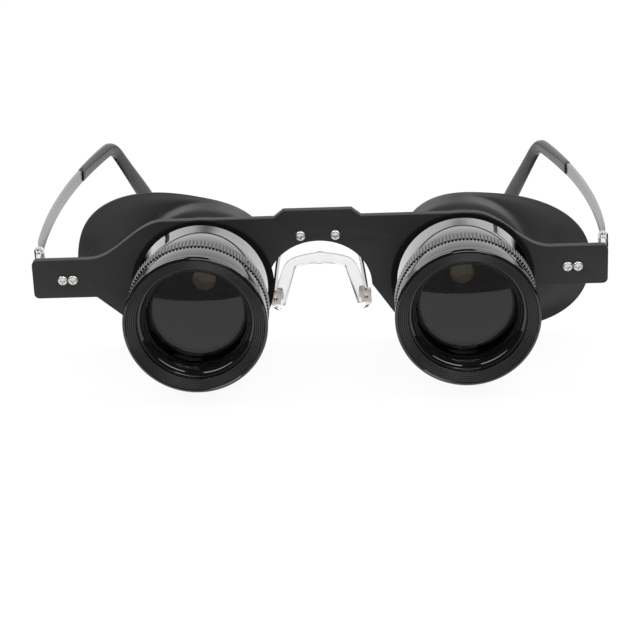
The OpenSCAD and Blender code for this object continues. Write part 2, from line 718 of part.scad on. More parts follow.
// One ray of the cup as points of radius and depth: its outer side from the neck over the drum's
// edge, the crease and the wing to the rim, then the inner side back, a wall's thickness further in
wing_shares = [0.3, 0.6, 0.85];
function cup_outer(reach, crease, tip_y, share) = [
    [flare_r, flare_root], [flare_r, flare_y],
    [max(flare_r + drum_y - flare_y, min(drum_r, reach - drum_margin)), drum_y], [crease, crease_y],
    each [for (t = wing_shares)
        [mix(crease, reach, t), mix(crease_y, tip_y, t) - wing_bulge * share * sin(180 * t)]],
    [reach, tip_y]];
function wall_steps(share) = [[-1, 0], [-1, 0.7], [-0.75, 0.8],
    each [for (i = [0:len(wing_shares)]) [0.85 * share - 1, 0.3 + 0.7 * share]], [-1, 0]];
function cup_ray(rim) = let (
        reach = norm(rim),
        crease = min(crease_r, reach - crease_margin),
        tip_y = rim_y + wing_sweep * max(0, rim[0] - rim_mid) / wing_reach,
        share = min(1, (reach - crease) / wing_start),
        outer = cup_outer(reach, crease, tip_y, share),
        steps = wall_steps(share))
    concat(outer, [for (i = [len(outer) - 1:-1:0]) outer[i] + cup_wall * steps[i]]);
cup_rims = [for (i = [0:cup_sides - 1]) rim_point(360 * i / cup_sides)];
cup_rays = [for (rim = cup_rims) cup_ray(rim)];
cup_rings = [for (k = [0:len(cup_rays[0]) - 1]) [for (i = [0:cup_sides - 1])
    let (u = unit(cup_rims[i]), p = cup_rays[i][k]) [p[0] * u[0], -p[0] * u[1], p[1]]]];

module eye_cup(s) color("#39393b") telescope(s) side(s) rotate(-(s > 0 ? left_cup_turn : right_cup_turn)) {
    difference() {
        union() {
            loop_skin(cup_rings);
            disc(cup_neck_r, cup_front, cup_lip_back);
        }
        disc(clamp_r + fine, cup_front - 1, clamp_back + fine);
        disc(cup_lip_r, clamp_back - 1, cup_lip_back + 1);
    }
}

// Ribs: one groove and one flat-topped rib to each pitch
rib_points = [[0, knurl_r - knurl_depth], [0.3, knurl_r], [0.7, knurl_r]];
function knurl_outline() = [for (i = [0:knurl_count - 1]) for (p = rib_points)
    let (a = 360 / knurl_count * (i + p[0])) p[1] * [cos(a), sin(a)]];

module focus_ring(s) color("#1c1c1d") telescope(s) difference() {
    union() {
        translate([0, 0, ring_front]) linear_extrude(knurl_len) polygon(knurl_outline());
        disc(ring_sleeve_r, ring_sleeve_y, ring_front + 1);
    }
    disc(sleeve_out_r + fine, ring_sleeve_y - 1, shoulder_y + 1);
}

module objective_tube(s) color("#141415") telescope(s) revolved([
    [bell_r - edge_bevel, bell_back], [bell_r, bell_back - edge_bevel],
    [bell_r, bell_front], [opening_r, bell_front],
    [opening_r, bell_front + retainer_lip], [lens_r, bell_front + retainer_lip], [lens_r, lens_back],
    [view_r, lens_back], [view_r, cell_back], [cell_r, cell_back], [cell_r, web_y],
    [ring_sleeve_r + fine, web_y], [ring_sleeve_r + fine, bell_back]]);

// Face of the front ring steps down towards the opening
face_r = front_ring_r - lip_flat;
face_y = front_y + step_start;
function step_face(n) = [for (i = [0:n - 1]) let (w = (face_r - opening_r) / n, d = step_in / n * step_share)
    each [for (p = [[i, i], [i, i + 1], [i + 1, i + 1]]) [face_r - p[0] * w, face_y + p[1] * d]]];

module front_ring(s) color("#29292b") telescope(s) revolved(concat(
    [[front_ring_r, bell_front]],
    arc([front_ring_r - lip_round, front_y + lip_round], lip_round, 0, -90, 6),
    [[face_r, front_y]], step_face(front_steps), [[opening_r, bell_front]]));

// How far the front lens bulges forward of its edge at a radius
function lens_depth(r) = sqrt(lens_curve * lens_curve - r * r);
function lens_dome(r) = lens_depth(r) - lens_depth(lens_r);

module front_lens(s) color("#30383c", 0.5) telescope(s) intersection() {
    disc(lens_r, lens_front - 2 * lens_dome(0), lens_back);
    translate([0, 0, lens_front + lens_depth(lens_r)]) sphere(r = lens_curve, $fn = 128);
}

module lens_retainer(s) color("#0e0e0f") telescope(s) revolved([
    [opening_r, bell_front], [opening_r - retainer_edge, bell_front],
    [lens_r - edge_bevel, bell_front + retainer_lip + 2 * fine],
    [view_r, bell_front + retainer_cone], [view_r, lens_front - lens_dome(view_r) - fine],
    [lens_r, lens_front - fine],
    [lens_r, bell_front + retainer_lip], [opening_r, bell_front + retainer_lip]]);

front_plate();
bridge_bracket();
bridge_screws();
pad_arm(1);  // left_pad_arm
pad_arm(-1);  // right_pad_arm
pad_box(1);  // left_pad_box
pad_box(-1);  // right_pad_box
pad_screws();
nose_saddle();
hinge_bracket(1);  // left_hinge_bracket
hinge_bracket(-1);  // right_hinge_bracket
end_screws(1);  // left_end_screws
end_screws(-1);  // right_end_screws
hinge_pin(1);  // left_hinge_pin
hinge_pin(-1);  // right_hinge_pin
temple_arm(1);  // left_temple_arm
temple_arm(-1);  // right_temple_arm
temple_sleeve(1);  // left_temple_sleeve
temple_sleeve(-1);  // right_temple_sleeve
rear_housing(1);  // left_rear_housing
rear_housing(-1);  // right_rear_housing
slide_washer(1);  // left_slide_washer
slide_washer(-1);  // right_slide_washer
clamp_ring(1);  // left_clamp_ring
clamp_ring(-1);  // right_clamp_ring
eye_lens(1);  // left_eye_lens
eye_lens(-1);  // right_eye_lens
eye_lens_ring(1);  // left_eye_lens_ring
eye_lens_ring(-1);  // right_eye_lens_ring
eye_cup(1);  // left_eye_cup
eye_cup(-1);  // right_eye_cup
focus_ring(1);  // left_focus_ring
focus_ring(-1);  // right_focus_ring
objective_tube(1);  // left_objective_tube
objective_tube(-1);  // right_objective_tube
front_ring(1);  // left_front_ring
front_ring(-1);  // right_front_ring
front_lens(1);  // left_front_lens
front_lens(-1);  // right_front_lens
lens_retainer(1);  // left_lens_retainer
lens_retainer(-1);  // right_lens_retainer
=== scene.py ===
import json
import math

import bmesh
import bpy
from mathutils import Matrix, Vector


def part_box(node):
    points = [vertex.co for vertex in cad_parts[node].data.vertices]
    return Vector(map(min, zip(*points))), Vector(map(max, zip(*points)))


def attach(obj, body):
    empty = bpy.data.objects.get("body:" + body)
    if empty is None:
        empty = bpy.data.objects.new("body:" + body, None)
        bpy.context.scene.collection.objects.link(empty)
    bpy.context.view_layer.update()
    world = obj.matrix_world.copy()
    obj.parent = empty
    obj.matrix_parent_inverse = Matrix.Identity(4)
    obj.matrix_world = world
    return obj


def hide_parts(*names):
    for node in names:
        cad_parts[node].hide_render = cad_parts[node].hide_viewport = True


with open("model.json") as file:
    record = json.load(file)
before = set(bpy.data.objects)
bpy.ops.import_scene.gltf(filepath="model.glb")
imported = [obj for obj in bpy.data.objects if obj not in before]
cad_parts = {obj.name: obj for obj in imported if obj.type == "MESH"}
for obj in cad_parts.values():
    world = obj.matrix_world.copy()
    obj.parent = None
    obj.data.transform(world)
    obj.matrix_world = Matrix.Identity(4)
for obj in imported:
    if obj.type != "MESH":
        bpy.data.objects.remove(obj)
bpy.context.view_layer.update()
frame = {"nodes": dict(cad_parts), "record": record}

# Binocular glasses under plain studio light. The scene is in metres, in the frame of the CAD:
# the front lenses face -Y, the temples run to +Y, +Z is up and +X is the wearer's left.
# Turned pieces are drawn in millimetres, as radius and depth behind the front face of the plate.
MM = 0.001
SIDES = {"left": 1, "right": -1}
NODES = frame["nodes"]
RECORD = frame["record"]
SLOT_OF = {part["node"]: part["material_slot"] for part in RECORD["subparts"]}
BODY_OF = {node: body for body, nodes in RECORD["behaviour"]["bodies"].items() for node in nodes}
PLATE_LOW, PLATE_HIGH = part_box("front_plate")
CROWN_HEIGHT = 16.6 * MM
TAB_MIDDLE_Z = PLATE_HIGH.z - CROWN_HEIGHT


def turned_size(node):
    """Radius, front depth and back depth of a turned CAD node, in millimetres."""
    low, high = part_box(node)
    return (high.x - low.x) / 2 / MM, (low.y - PLATE_LOW.y) / MM, (high.y - PLATE_LOW.y) / MM


def axis_of(side):
    """A point on the axis of that side's telescope."""
    low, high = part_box(f"{side}_objective_tube")
    return (low + high) / 2


# Camera, fitted to the plate's corners, the screws and the two front rings in the photograph
PHOTO_SIDE_PX = 640
FOCAL_PX = 2050.39
SENSOR = 36.0
VIEW_AZIMUTH = math.radians(1.79)
VIEW_ELEVATION = math.radians(21.73)
VIEW_ROLL = math.radians(-2.23)
VIEW_DISTANCE = 0.520
VIEW_SHIFT = (0.17 * MM, -12.15 * MM)
NEAREST_SEEN = 10 * MM


def make_camera():
    target = Vector((0, PLATE_LOW.y, TAB_MIDDLE_Z))
    back = Vector((math.sin(VIEW_AZIMUTH) * math.cos(VIEW_ELEVATION),
                   -math.cos(VIEW_AZIMUTH) * math.cos(VIEW_ELEVATION), math.sin(VIEW_ELEVATION)))
    right = (-back).cross(Vector((0, 0, 1))).normalized()
    up = right.cross(-back)
    turned_right = right * math.cos(VIEW_ROLL) + up * math.sin(VIEW_ROLL)
    turned_up = up * math.cos(VIEW_ROLL) - right * math.sin(VIEW_ROLL)
    data = bpy.data.cameras.new("camera")
    data.sensor_width = SENSOR
    data.lens = FOCAL_PX * SENSOR / PHOTO_SIDE_PX
    data.clip_start = NEAREST_SEEN
    camera = bpy.data.objects.new("camera", data)
    bpy.context.scene.collection.objects.link(camera)
    place = target + back * VIEW_DISTANCE + turned_right * VIEW_SHIFT[0] + turned_up * VIEW_SHIFT[1]
    turn = Matrix((turned_right, turned_up, back)).transposed()
    camera.matrix_world = Matrix.Translation(place) @ turn.to_4x4()
    bpy.context.scene.camera = camera


make_camera()


# Materials
FINE_GRAIN = 0.012 * MM
FAINT_GRAIN = 0.008 * MM
DUST_SCALE = 1400
DUST_EDGE = 0.05
# Where Blender's mix node keeps its colour sockets
COLOUR_A, COLOUR_B, COLOUR_MIXED = 6, 7, 2


class Socket:
    """A shader value that can be used in Python expressions."""

    def __init__(self, tree, link):
        self.tree = tree
        self.link = link

    def math(self, operation, *others):
        return self.tree.node("ShaderNodeMath", {"operation": operation}, dict(enumerate((self, *others))))

    def __add__(self, other):
        return self.math("ADD", other)

    __radd__ = __add__

    def __mul__(self, other):
        return self.math("MULTIPLY", other)

    __rmul__ = __mul__

    def __sub__(self, other):
        return self.math("SUBTRACT", other)

    def __rsub__(self, other):
        return (self * -1) + other

    def maximum(self, other):
        return self.math("MAXIMUM", other)

    def size(self):
        return self.math("ABSOLUTE")

    def between(self, low, high):
        """0 below low, 1 above high and a smooth step between them."""
        return self.tree.node("ShaderNodeMapRange", {"interpolation_type": "SMOOTHSTEP", "clamp": True},
                              {"Value": self, "From Min": low, "From Max": high})


class Tree:
    """The node tree of one material or of the world."""

    def __init__(self, owner):
        owner.use_nodes = True
        self.tree = owner.node_tree
        self.tree.nodes.clear()

    def fill(self, node, values):
        for key, value in values.items():
            socket = node.inputs[key]
            if isinstance(value, Socket):
                self.tree.links.new(value.link, socket)
            elif isinstance(value, tuple) and len(value) == 3 and socket.type == "RGBA":
                socket.default_value = (*value, 1)
            else:
                socket.default_value = value

    def raw(self, kind, settings, values):
        node = self.tree.nodes.new(kind)
        for key, value in settings.items():
            setattr(node, key, value)
        self.fill(node, values)
        return node

    def node(self, kind, settings=None, values=None, output=0):
        made = self.raw(kind, settings or {}, values or {})
        return Socket(self, made.outputs[output])

    def place(self, stretch=(1, 1, 1)):
        """Object coordinates, stretched along the axes."""
        here = self.node("ShaderNodeTexCoord", output="Object")
        return self.node("ShaderNodeMapping", None, {"Vector": here, "Scale": stretch})

    def noise(self, scale, detail=3, stretch=(1, 1, 1)):
        here = self.place(stretch)
        return self.node("ShaderNodeTexNoise", None, {"Vector": here, "Scale": scale, "Detail": detail})

    def mix(self, share, a, b):
        """Colour a where share is 0 and colour b where it is 1."""
        made = self.raw("ShaderNodeMix", {"data_type": "RGBA"}, {0: share, COLOUR_A: a, COLOUR_B: b})
        return Socket(self, made.outputs[COLOUR_MIXED])

    def bump(self, height, depth):
        return self.node("ShaderNodeBump", None, {"Height": height, "Distance": depth, "Strength": 1.0})

    def dust(self, colour, speck, rarity):
        """A few pale specks scattered over a colour."""
        return self.mix(self.noise(DUST_SCALE, detail=2).between(rarity, rarity + DUST_EDGE), colour, speck)

    def finish(self, shader, output="ShaderNodeOutputMaterial"):
        self.raw(output, {}, {"Surface": shader})


def surface(name, make):
    """A material whose Principled shader takes the values that make(tree) returns."""
    made = bpy.data.materials.new(name)
    tree = Tree(made)
    tree.finish(tree.node("ShaderNodeBsdfPrincipled", None, make(tree)))
    return made


def moulded_black(tree):
    grain = tree.noise(2600, detail=4)
    cloud = tree.noise(90)
    colour = tree.mix(cloud, (0.0135, 0.0125, 0.013), (0.0195, 0.018, 0.0185))
    return {"Base Color": tree.dust(colour, (0.09, 0.09, 0.09), rarity=0.8),
            "Roughness": 0.52 + 0.16 * cloud, "IOR": 1.5,
            "Normal": tree.bump(grain, FINE_GRAIN)}


def flat_black(tree):
    cloud = tree.noise(200)
    return {"Base Color": tree.mix(cloud, (0.006, 0.006, 0.006), (0.009, 0.009, 0.009)),
            "Roughness": 0.8 + 0.1 * cloud, "Specular IOR Level": 0.1}


def polished_black(tree):
    haze = tree.noise(140, detail=4)
    return {"Base Color": tree.dust((0.006, 0.006, 0.0065), (0.05, 0.05, 0.05), rarity=0.8),
            "Roughness": 0.04 + 0.05 * haze, "IOR": 1.6}


def satin_black(tree):
    cloud = tree.noise(120)
    colour = tree.mix(cloud, (0.009, 0.009, 0.0095), (0.014, 0.014, 0.015))
    return {"Base Color": tree.dust(colour, (0.1, 0.1, 0.1), rarity=0.8), "Roughness": 0.24 + 0.1 * cloud}


def soft_rubber(tree):
    cloud = tree.noise(60, detail=4)
    skin = tree.noise(3200)
    colour = tree.mix(cloud, (0.026, 0.026, 0.027), (0.038, 0.038, 0.039))
    return {"Base Color": tree.dust(colour, (0.16, 0.16, 0.16), rarity=0.75),
            "Roughness": 0.43 + 0.12 * cloud, "Normal": tree.bump(skin, FINE_GRAIN)}


def sleeve_rubber(tree):
    cloud = tree.noise(150, detail=4)
    return {"Base Color": tree.mix(cloud, (0.02, 0.02, 0.021), (0.032, 0.032, 0.033)),
            "Roughness": 0.2 + 0.1 * cloud, "Normal": tree.bump(tree.noise(2400), FAINT_GRAIN)}


def clear_silicone(tree):
    haze = tree.noise(300)
    return {"Base Color": (0.86, 0.865, 0.865), "Roughness": 0.03 + 0.05 * haze, "IOR": 1.22,
            "Transmission Weight": 1.0}


def nickel(tree):
    wear = tree.noise(500, detail=4)
    return {"Base Color": tree.mix(wear, (0.62, 0.60, 0.58), (0.78, 0.76, 0.74)), "Metallic": 1.0,
            "Roughness": 0.14 + 0.16 * wear}


def box_nickel(tree):
    wear = tree.noise(600, detail=4)
    return {"Base Color": tree.mix(wear, (0.46, 0.42, 0.39), (0.60, 0.55, 0.51)), "Metallic": 1.0,
            "Roughness": 0.26 + 0.18 * wear}


def strip_steel(tree):
    brushed = tree.noise(900, detail=4, stretch=(1, 0.03, 1))
    return {"Base Color": tree.mix(brushed, (0.32, 0.32, 0.325), (0.44, 0.44, 0.445)), "Metallic": 1.0,
            "Roughness": 0.32 + 0.16 * brushed, "Normal": tree.bump(brushed, FAINT_GRAIN)}


def pale_nylon(tree):
    cloud = tree.noise(200)
    return {"Base Color": tree.mix(cloud, (0.52, 0.5, 0.45), (0.62, 0.6, 0.54)),
            "Roughness": 0.4 + 0.1 * cloud}


def coated_glass(tree):
    return {"Base Color": (0.9, 0.93, 0.9), "Roughness": 0.0, "IOR": 1.43, "Transmission Weight": 1.0}


# Eye lens: an amber tone, and a near-black tint that is painted shade for the dim view into the eyepiece
def amber_glass_painted_shade(tree):
    return {"Base Color": (0.03, 0.021, 0.013), "Roughness": 0.0, "IOR": 1.52, "Transmission Weight": 1.0}


FLAT_BLACK = surface("flat black", flat_black)
BOX_NICKEL = surface("box nickel", box_nickel)
SLEEVE_RUBBER = surface("sleeve rubber", sleeve_rubber)
AMBER_GLASS_PAINTED_SHADE = surface("amber glass, painted shade", amber_glass_painted_shade)
FINISH = {
    "matte_black_plastic": surface("moulded black", moulded_black),
    "gloss_black_plastic": surface("polished black", polished_black),
    "satin_black_plastic": surface("satin black", satin_black),
    "black_rubber": surface("soft rubber", soft_rubber),
    "clear_silicone": surface("clear silicone", clear_silicone),
    "nickel_steel": surface("nickel", nickel),
    "temple_steel": surface("strip steel", strip_steel),
    "washer_plastic": surface("pale nylon", pale_nylon),
    "coated_glass": surface("coated glass", coated_glass),
}
OWN_FINISH = {f"{side}_{part}": made for side in SIDES for part, made in (
    ("temple_sleeve", SLEEVE_RUBBER), ("pad_box", BOX_NICKEL), ("eye_lens", AMBER_GLASS_PAINTED_SHADE))}

for node, thing in NODES.items():
    thing.data.materials.clear()
    thing.data.materials.append(OWN_FINISH.get(node, FINISH[SLOT_OF[node]]))


# Mesh tools
SAME_PLACE = 0.002 * MM
FLAT_ANGLE = math.radians(0.5)
PAIR_ANGLE = math.radians(60)


def put(bm, name, node, finish=None, slot=None, smooth_below=35):
    """Makes the mesh a piece that stands for a CAD node and rides on its body."""
    for face in bm.faces:
        face.smooth = True
    for edge in bm.edges:
        edge.smooth = edge.calc_face_angle(0) < math.radians(smooth_below)
    mesh = bpy.data.meshes.new(name)
    bm.to_mesh(mesh)
    bm.free()
    thing = bpy.data.objects.new(name, mesh)
    bpy.context.scene.collection.objects.link(thing)
    slot = slot or SLOT_OF[node]
    mesh.materials.append(finish or OWN_FINISH.get(node, FINISH[slot]))
    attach(thing, BODY_OF[node])
    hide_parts(node)
    return thing


def subdivided(thing, levels):
    modifier = thing.modifiers.new("smooth", "SUBSURF")
    modifier.levels = modifier.render_levels = levels
    return thing


def copy_of(node):
    """The CAD node's triangles, joined at their corners."""
    bm = bmesh.new()
    bm.from_mesh(NODES[node].data)
    bmesh.ops.remove_doubles(bm, verts=bm.verts, dist=SAME_PLACE)
    return bm


def soften(bm, width, segments=3, sharper_than=40):
    """Rounds every edge that is sharper than an angle."""
    limit = math.radians(sharper_than)
    edges = [edge for edge in bm.edges if edge.is_manifold and edge.calc_face_angle() > limit]
    bmesh.ops.bevel(bm, geom=edges, offset=width * MM, offset_type="OFFSET", segments=segments,
                    profile=0.5, affect="EDGES", clamp_overlap=True, material=-1)


def softened_copy(node, width, segments=3):
    """A CAD piece with its flat faces made whole and its edges rounded."""
    bm = copy_of(node)
    bmesh.ops.dissolve_limit(bm, angle_limit=FLAT_ANGLE, verts=bm.verts, edges=bm.edges)
    soften(bm, width, segments)
    put(bm, f"{node}_finished", node)


def arc(centre, radius, start, end, steps):
    angles = [math.radians(start + (end - start) * i / steps) for i in range(steps + 1)]
    return [(centre[0] + radius * math.cos(a), centre[1] + radius * math.sin(a)) for a in angles]


TURN_STEPS = 160
FINE_STEPS = 192


def lathe(side, outline, steps=TURN_STEPS):
    """Spins a closed outline of radius and depth about that side's telescope axis."""
    centre = axis_of(side)
    bm = bmesh.new()
    verts = [bm.verts.new((centre.x + radius * MM, PLATE_LOW.y + depth * MM, centre.z))
             for radius, depth in outline]
    edges = [bm.edges.new(pair) for pair in zip(verts, verts[1:] + verts[:1])]
    bmesh.ops.spin(bm, geom=verts + edges, cent=centre, axis=(0, 1, 0), angle=math.tau, steps=steps,
                   use_merge=True)
    bmesh.ops.remove_doubles(bm, verts=bm.verts, dist=SAME_PLACE / 2)
    bmesh.ops.recalc_face_normals(bm, faces=bm.faces)
    return bm


def loft(rings, closed=False):
    """Joins rings of equally many points one after the other; an open loft is capped at both ends."""
    bm = bmesh.new()
    loops = []
    for ring in rings:
        verts = [bm.verts.new(point) for point in ring]
        loops.append([bm.edges.new(pair) for pair in zip(verts, verts[1:] + verts[:1])])
    if closed:
        loops.append(loops[0])
    for first, second in zip(loops, loops[1:]):
        bmesh.ops.bridge_loops(bm, edges=first + second)
    if not closed:
        bmesh.ops.holes_fill(bm, edges=loops[0] + loops[-1], sides=0)
    bmesh.ops.recalc_face_normals(bm, faces=bm.faces)
    return bm


def mix(a, b, share):
    return a + (b - a) * share


def ease(share):
    return (1 - math.cos(math.pi * share)) / 2


# Telescope sizes, in millimetres: what the boxes of the nodes give, then walls and steps.
# FIT, HAIR and CORE_GAP are gaps between neighbouring pieces.
FIT = 0.05
HAIR = 0.01
CORE_GAP = 0.1
SHOULDER_R, HOUSING_SLEEVE_Y, NECK_BACK = turned_size("left_rear_housing")
KNURL_R, RING_SLEEVE_Y, KNURL_BACK = turned_size("left_focus_ring")
BELL_R, BELL_FRONT, CELL_BACK = turned_size("left_objective_tube")
RING_R, FACE_Y, RING_BACK = turned_size("left_front_ring")
OPENING_R, RETAINER_FRONT = turned_size("left_lens_retainer")[:2]
LENS_R, DOME_FRONT, LENS_BACK = turned_size("left_front_lens")
EYE_R, EYE_FRONT, EYE_BACK = turned_size("left_eye_lens")
SHOULDER_Y = KNURL_BACK + FIT
KNURL_LEN = 4.4
KNURL_FRONT = KNURL_BACK - KNURL_LEN
BELL_BACK = KNURL_FRONT - 2 * FIT
HOUSING_R = SHOULDER_R - 0.3
NECK_R = 10
BELL_WALL = 1.05
FOCUS_WALL = 1.35
SLEEVE_WALL = 0.75
CELL_WALL = 0.6
LENS_SEAT = 0.9
RING_BORE_R = BELL_R - BELL_WALL
SLEEVE_R = RING_BORE_R - FIT - FOCUS_WALL - FIT
SLEEVE_BORE_R = SLEEVE_R - SLEEVE_WALL
CELL_R = LENS_R + CELL_WALL
VIEW_R = LENS_R - LENS_SEAT
WEB_Y = RING_SLEEVE_Y - 0.5
LENS_EDGE_Y = LENS_BACK - 1.8
INNER_R = SLEEVE_BORE_R - 1.05
CORE_R = INNER_R + 0.5
SHOULDER_LEN = 1.2
SHELL_STEP = 1.0
BORE_STEP = 0.5
WEB_BACK = -3.1
WEB_RISE = 2.2
EYE_SEAT = 1.2
SEAT_LEN = 0.6
EYE_STOP_R = 3.0
STOP_BACK = 1.6
STOP_FRONT = 2.0
CONE_BACK = -3.0
CONE_FRONT = -5.5
PLATE_GAP = 0.06
FLANGE_R = 17.45
FLANGE_REACH = 18.2
FLANGE_EDGE = 0.3
FLANGE_FRONT = -0.3
HOUSING_EDGE = ((0.8, FLANGE_FRONT - HAIR), (0.35, -1.2), (0.0, -1.7))
BELL_CHAMFER = 0.25
CELL_INSET = 0.82
EDGE = 0.12


def housing_shell(side):
    """Glossy outer wall, from the plate to the shoulder behind the knurls."""
    outline = [(NECK_R + CORE_GAP, FLANGE_FRONT - HAIR)]
    outline += [(HOUSING_R - inset, depth) for inset, depth in HOUSING_EDGE]
    outline += [
        (SHOULDER_R, SHOULDER_Y + SHOULDER_LEN), (SHOULDER_R, SHOULDER_Y), (SLEEVE_R + FIT, SHOULDER_Y),
        (CORE_R + FIT, SHOULDER_Y + SHELL_STEP), (CORE_R + FIT, WEB_BACK - WEB_RISE),
        (NECK_R + CORE_GAP, WEB_BACK)]
    bm = lathe(side, outline)
    soften(bm, EDGE)
    put(bm, f"{side}_housing_shell", f"{side}_rear_housing")


def seat_flange(side):
    """Thin flat-black foot of the housing, wider sideways, to cover the plate's slot all along the slide; its
    flat black round the barrel is also painted shade, where the barrel shades the plate.
    """
    bm = lathe(side, [(NECK_R + CORE_GAP, -PLATE_GAP), (FLANGE_R, -PLATE_GAP),
                      (FLANGE_R - FLANGE_EDGE, FLANGE_FRONT), (NECK_R + CORE_GAP, FLANGE_FRONT)])
    bmesh.ops.scale(bm, verts=bm.verts, vec=(FLANGE_REACH / FLANGE_R, 1, 1),
                    space=Matrix.Translation(-axis_of(side)))
    put(bm, f"{side}_seat_flange", f"{side}_rear_housing", FLAT_BLACK, "matte_black_plastic")


def housing_core(side):
    """Blackened inner tube: the focusing sleeve, the cone, the eye stop and the neck."""
    bm = lathe(side, [
        (CORE_R, WEB_BACK - WEB_RISE - CORE_GAP), (NECK_R, WEB_BACK - CORE_GAP), (NECK_R, NECK_BACK),
        (EYE_R, NECK_BACK), (EYE_R, EYE_FRONT), (EYE_R - EYE_SEAT, EYE_FRONT),
        (EYE_R - EYE_SEAT, EYE_FRONT - SEAT_LEN), (EYE_STOP_R, EYE_FRONT - STOP_BACK),
        (EYE_STOP_R, EYE_FRONT - STOP_FRONT), (EYE_R, CONE_BACK), (INNER_R, CONE_FRONT),
        (INNER_R, SHOULDER_Y + SHELL_STEP), (SLEEVE_BORE_R, SHOULDER_Y - BORE_STEP),
        (SLEEVE_BORE_R, HOUSING_SLEEVE_Y), (SLEEVE_R, HOUSING_SLEEVE_Y), (SLEEVE_R, SHOULDER_Y + FIT),
        (CORE_R, SHOULDER_Y + SHELL_STEP + CORE_GAP)])
    soften(bm, EDGE / 2, segments=2)
    put(bm, f"{side}_housing_core", f"{side}_rear_housing", FLAT_BLACK, "matte_black_plastic")


RIB_COUNT = 120
RIB_DEPTH = 0.42
RIB_SHAPE = ((0.0, 0.0), (0.2, 0.04), (0.3, 0.7), (0.38, 1.0), (0.82, 1.0), (0.9, 0.7), (1.0, 0.0))
GROOVE_RUN_OUT = 0.7
RIB_WALL_AREA = 5 * MM * MM


def knurled_ring(side):
    """Focus ring: one rib is extruded and repeated round the axis; the grooves run out to the rear."""
    centre = axis_of(side)
    pitch = math.tau / RIB_COUNT
    front = PLATE_LOW.y + KNURL_FRONT * MM
    bm = bmesh.new()

    def corner(radius, share):
        across, high = radius * MM * math.cos(pitch * share), radius * MM * math.sin(pitch * share)
        return bm.verts.new((centre.x + across, front, centre.z + high))

    outer = [corner(KNURL_R - RIB_DEPTH * (1 - height), share) for share, height in RIB_SHAPE]
    inner = [corner(SLEEVE_R + FIT, share) for share in (1.0, 0.0)]
    rib = bm.faces.new(outer + inner)
    grown = bmesh.ops.extrude_face_region(bm, geom=[rib])["geom"]
    bmesh.ops.translate(bm, verts=[part for part in grown if isinstance(part, bmesh.types.BMVert)],
                        vec=(0, KNURL_LEN * MM, 0))
    # The two walls towards the neighbouring ribs would lie inside the ring
    walls = [face for face in bm.faces if len(face.verts) == 4 and face.calc_area() > RIB_WALL_AREA]
    bmesh.ops.delete(bm, geom=walls, context="FACES_ONLY")
    bmesh.ops.spin(bm, geom=bm.verts[:] + bm.edges[:] + bm.faces[:], cent=centre, axis=(0, 1, 0),
                   angle=math.tau * (RIB_COUNT - 1) / RIB_COUNT, steps=RIB_COUNT - 1, use_duplicate=True)
    bmesh.ops.remove_doubles(bm, verts=bm.verts, dist=SAME_PLACE)
    for vert in bm.verts:
        offset = Vector((vert.co.x - centre.x, 0, vert.co.z - centre.z))
        if offset.length > RING_BORE_R * MM:
            share = (vert.co.y - front) / (KNURL_LEN * MM)
            lift = (KNURL_R * MM - offset.length) * GROOVE_RUN_OUT * share
            vert.co += offset.normalized() * lift
    bmesh.ops.recalc_face_normals(bm, faces=bm.faces)
    put(bm, f"{side}_knurled_ring", f"{side}_focus_ring", smooth_below=50)


def focus_sleeve(side):
    """Blackened sleeve of the focus ring, between the housing's sleeve and the bell."""
    bm = lathe(side, [(SLEEVE_R + FIT, KNURL_FRONT - 2 * HAIR), (SLEEVE_R + FIT, RING_SLEEVE_Y),
                      (RING_BORE_R - FIT, RING_SLEEVE_Y), (RING_BORE_R - FIT, KNURL_FRONT - 2 * HAIR)])
    soften(bm, EDGE, segments=2)
    put(bm, f"{side}_focus_sleeve", f"{side}_focus_ring", FLAT_BLACK, "matte_black_plastic")


def bell(side):
    """Glossy front barrel behind the front ring."""
    bm = lathe(side, [
        (BELL_R - BELL_CHAMFER, BELL_BACK), (BELL_R, BELL_BACK - BELL_CHAMFER), (BELL_R, BELL_FRONT),
        (OPENING_R, BELL_FRONT), (OPENING_R, WEB_Y), (RING_BORE_R, WEB_Y), (RING_BORE_R, BELL_BACK)])
    soften(bm, EDGE)
    put(bm, f"{side}_bell", f"{side}_objective_tube")


def lens_cell(side):
    """Blackened tube that holds the front lens inside the bell."""
    bm = lathe(side, [
        (LENS_R + HAIR, BELL_FRONT + CELL_INSET), (LENS_R + HAIR, LENS_BACK + HAIR),
        (VIEW_R, LENS_BACK + HAIR), (VIEW_R, CELL_BACK), (CELL_R, CELL_BACK),
        (CELL_R, BELL_FRONT + CELL_INSET)])
    soften(bm, EDGE / 2, segments=2)
    put(bm, f"{side}_lens_cell", f"{side}_objective_tube", FLAT_BLACK, "matte_black_plastic")


# Front ring: rim, ribbed face and bevel, with depths behind the front of the ring
LIP_ROUND = 0.75
LIP_STEPS = 8
FACE_R = RING_R - 0.85
FACE_INNER_R = RING_R - 3.3
FACE_RIBS = 5
FACE_RIB_SHAPE = ((0.0, 0.0), (0.3, 0.9), (0.42, 1.0), (0.58, 1.0), (0.7, 0.9))
FACE_RIB_H = 0.18
FACE_START = 0.12
FACE_END = 0.9
BEVEL_START = 0.96
BEVEL_END = 1.57


def front_lip(side):
    """Polished rim of the front ring."""
    outline = [(RING_R, RING_BACK)]
    outline += arc((RING_R - LIP_ROUND, FACE_Y + LIP_ROUND), LIP_ROUND, 0, -90, LIP_STEPS)
    bm = lathe(side, outline + [(FACE_R, FACE_Y + FACE_START), (FACE_R, RING_BACK)], FINE_STEPS)
    put(bm, f"{side}_front_lip", f"{side}_front_ring", FINISH["gloss_black_plastic"], "gloss_black_plastic")


